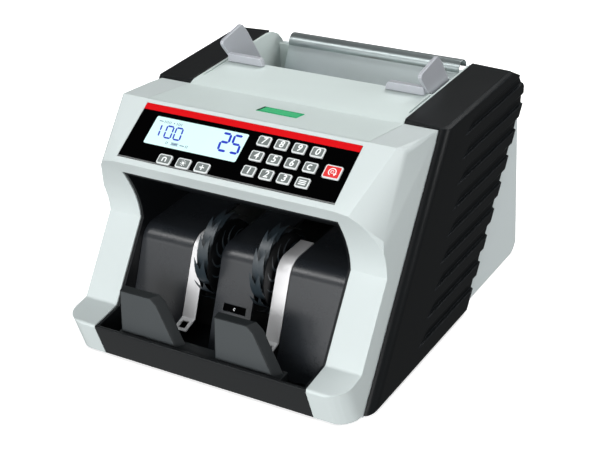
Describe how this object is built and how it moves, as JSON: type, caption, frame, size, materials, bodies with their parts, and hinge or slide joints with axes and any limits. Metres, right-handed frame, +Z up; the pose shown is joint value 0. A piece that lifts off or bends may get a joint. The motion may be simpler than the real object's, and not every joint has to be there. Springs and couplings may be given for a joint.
{
  "type": "banknote counting machine",
  "caption": "Desktop banknote counter: rear hopper with sliding note guides, tilted control panel with display and keypad, fan wheels over an open front stacker.",
  "frame": {"origin": "on the table, under the middle of the machine's bounding box", "axes": "+X to the operator's right, +Y from the stacker at the front to the power inlet at the back, +Z up"},
  "size_m": [0.285, 0.3268, 0.2184],
  "materials": {
    "fascia": "gloss black",
    "display": "backlit",
    "silver_shell": "satin silver paint",
    "pale_shell": "satin",
    "badge": "gloss",
    "brushed_plate": "brushed",
    "black_cover": "satin",
    "galvanised": "matt",
    "foot_rubber": "matt",
    "black_tray": "satin",
    "slate_fin": "satin",
    "bright_strip": "polished",
    "shaft_steel": "ground",
    "fan_plastic": "gloss",
    "pulley_plastic": "moulded",
    "feed_rubber": "matt",
    "motor_case": "satin",
    "belt_rubber": "matt",
    "circuit_board": "lacquered",
    "black_fitting": "satin",
    "guide_plastic": "satin",
    "key_plastic": "satin",
    "reset_key": "satin"
  },
  "bodies": {
    "housing": {"control_panel": "fascia", "display_module": "display", "front_frame": "silver_shell", "top_cover": "pale_shell", "badge": "badge", "hopper_back_plate": "brushed_plate", "side_cover_left": "black_cover", "side_cover_right": "black_cover", "rear_cover": "pale_shell", "base_pan": "galvanised", "foot_front_left": "foot_rubber", "foot_front_right": "foot_rubber", "foot_rear_left": "foot_rubber", "foot_rear_right": "foot_rubber", "stacker_tray": "black_tray", "stacker_stop": "slate_fin", "stacker_bed_left": "black_tray", "stacker_bed_centre": "black_tray", "stacker_bed_right": "black_tray", "guide_strip_left": "bright_strip", "guide_strip_right": "bright_strip", "upper_guide_plate": "black_tray", "separator_roller": "feed_rubber", "motor": "motor_case", "drive_belt": "belt_rubber", "pickup_belt": "belt_rubber", "side_plate_left": "galvanised", "side_plate_right": "galvanised", "main_board": "circuit_board", "power_inlet": "black_fitting"},
    "guide_left": {"note_guide_left": "guide_plastic"},
    "guide_right": {"note_guide_right": "guide_plastic"},
    "impellers": {"impeller_shaft": "shaft_steel", "impeller_left": "fan_plastic", "impeller_right": "fan_plastic", "impeller_pulley": "pulley_plastic"},
    "feed": {"feed_shaft": "shaft_steel", "feed_drum": "feed_rubber", "feed_pulley": "pulley_plastic"},
    "pickup": {"pickup_shaft": "shaft_steel", "pickup_rollers": "feed_rubber"},
    "motor_rotor": {"motor_pulley": "pulley_plastic"},
    "rocker": {"power_switch": "black_fitting"},
    "adjuster": {"gap_screw": "shaft_steel"},
    "key_7_button": {"key_7": "key_plastic"},
    "key_8_button": {"key_8": "key_plastic"},
    "key_9_button": {"key_9": "key_plastic"},
    "key_0_button": {"key_0": "key_plastic"},
    "key_4_button": {"key_4": "key_plastic"},
    "key_5_button": {"key_5": "key_plastic"},
    "key_6_button": {"key_6": "key_plastic"},
    "key_clear_button": {"key_clear": "key_plastic"},
    "key_1_button": {"key_1": "key_plastic"},
    "key_2_button": {"key_2": "key_plastic"},
    "key_3_button": {"key_3": "key_plastic"},
    "key_batch_button": {"key_batch": "key_plastic"},
    "key_function_1_button": {"key_function_1": "key_plastic"},
    "key_function_2_button": {"key_function_2": "key_plastic"},
    "key_function_3_button": {"key_function_3": "key_plastic"},
    "key_reset_button": {"key_reset": "reset_key"}
  },
  "joints": [
    {"name": "guide_left_slide", "type": "slide", "parent": "housing", "child": "guide_left", "axis": [1, 0, 0], "range_m": [0, 0.03]},
    {"name": "guide_right_slide", "type": "slide", "parent": "housing", "child": "guide_right", "axis": [-1, 0, 0], "range_m": [0, 0.03]},
    {"name": "impeller_spin", "type": "hinge", "parent": "housing", "child": "impellers", "pos_m": [0, -0.07469, 0.076], "axis": [1, 0, 0], "continuous": true},
    {"name": "feed_spin", "type": "hinge", "parent": "housing", "child": "feed", "pos_m": [0, 0.07282, 0.104], "axis": [1, 0, 0], "continuous": true},
    {"name": "pickup_spin", "type": "hinge", "parent": "housing", "child": "pickup", "pos_m": [0, 0.06281, 0.148], "axis": [1, 0, 0], "continuous": true},
    {"name": "motor_spin", "type": "hinge", "parent": "housing", "child": "motor_rotor", "pos_m": [0, 0.00481, 0.04], "axis": [1, 0, 0], "continuous": true},
    {"name": "power_switch_rock", "type": "hinge", "parent": "housing", "child": "rocker", "pos_m": [-0.1, 0.15882, 0.0513], "axis": [1, 0, 0], "range_deg": [-16, 0]},
    {"name": "gap_screw_turn", "type": "hinge", "parent": "housing", "child": "adjuster", "pos_m": [0, 0.15382, 0.17], "axis": [0, 0, 1], "range_deg": [-180, 180]},
    {"name": "key_7_press", "type": "slide", "parent": "housing", "child": "key_7_button", "axis": [0, 0.515, -0.8572], "range_m": [0, 0.0007], "stiffness_N_per_m": 1500},
    {"name": "key_8_press", "type": "slide", "parent": "housing", "child": "key_8_button", "axis": [0, 0.515, -0.8572], "range_m": [0, 0.0007], "stiffness_N_per_m": 1500},
    {"name": "key_9_press", "type": "slide", "parent": "housing", "child": "key_9_button", "axis": [0, 0.515, -0.8572], "range_m": [0, 0.0007], "stiffness_N_per_m": 1500},
    {"name": "key_0_press", "type": "slide", "parent": "housing", "child": "key_0_button", "axis": [0, 0.515, -0.8572], "range_m": [0, 0.0007], "stiffness_N_per_m": 1500},
    {"name": "key_4_press", "type": "slide", "parent": "housing", "child": "key_4_button", "axis": [0, 0.515, -0.8572], "range_m": [0, 0.0007], "stiffness_N_per_m": 1500},
    {"name": "key_5_press", "type": "slide", "parent": "housing", "child": "key_5_button", "axis": [0, 0.515, -0.8572], "range_m": [0, 0.0007], "stiffness_N_per_m": 1500},
    {"name": "key_6_press", "type": "slide", "parent": "housing", "child": "key_6_button", "axis": [0, 0.515, -0.8572], "range_m": [0, 0.0007], "stiffness_N_per_m": 1500},
    {"name": "key_clear_press", "type": "slide", "parent": "housing", "child": "key_clear_button", "axis": [0, 0.515, -0.8572], "range_m": [0, 0.0007], "stiffness_N_per_m": 1500},
    {"name": "key_1_press", "type": "slide", "parent": "housing", "child": "key_1_button", "axis": [0, 0.515, -0.8572], "range_m": [0, 0.0007], "stiffness_N_per_m": 1500},
    {"name": "key_2_press", "type": "slide", "parent": "housing", "child": "key_2_button", "axis": [0, 0.515, -0.8572], "range_m": [0, 0.0007], "stiffness_N_per_m": 1500},
    {"name": "key_3_press", "type": "slide", "parent": "housing", "child": "key_3_button", "axis": [0, 0.515, -0.8572], "range_m": [0, 0.0007], "stiffness_N_per_m": 1500},
    {"name": "key_batch_press", "type": "slide", "parent": "housing", "child": "key_batch_button", "axis": [0, 0.515, -0.8572], "range_m": [0, 0.0007], "stiffness_N_per_m": 1500},
    {"name": "key_function_1_press", "type": "slide", "parent": "housing", "child": "key_function_1_button", "axis": [0, 0.515, -0.8572], "range_m": [0, 0.0007], "stiffness_N_per_m": 1500},
    {"name": "key_function_2_press", "type": "slide", "parent": "housing", "child": "key_function_2_button", "axis": [0, 0.515, -0.8572], "range_m": [0, 0.0007], "stiffness_N_per_m": 1500},
    {"name": "key_function_3_press", "type": "slide", "parent": "housing", "child": "key_function_3_button", "axis": [0, 0.515, -0.8572], "range_m": [0, 0.0007], "stiffness_N_per_m": 1500},
    {"name": "key_reset_press", "type": "slide", "parent": "housing", "child": "key_reset_button", "axis": [0, 0.515, -0.8572], "range_m": [0, 0.0007], "stiffness_N_per_m": 1500}
  ],
  "couplings": [
    {"joint": "feed_spin", "follows": "impeller_spin", "ratio": 1.1111},
    {"joint": "pickup_spin", "follows": "impeller_spin", "ratio": 1.1111},
    {"joint": "motor_spin", "follows": "impeller_spin", "ratio": 2.5}
  ]
}
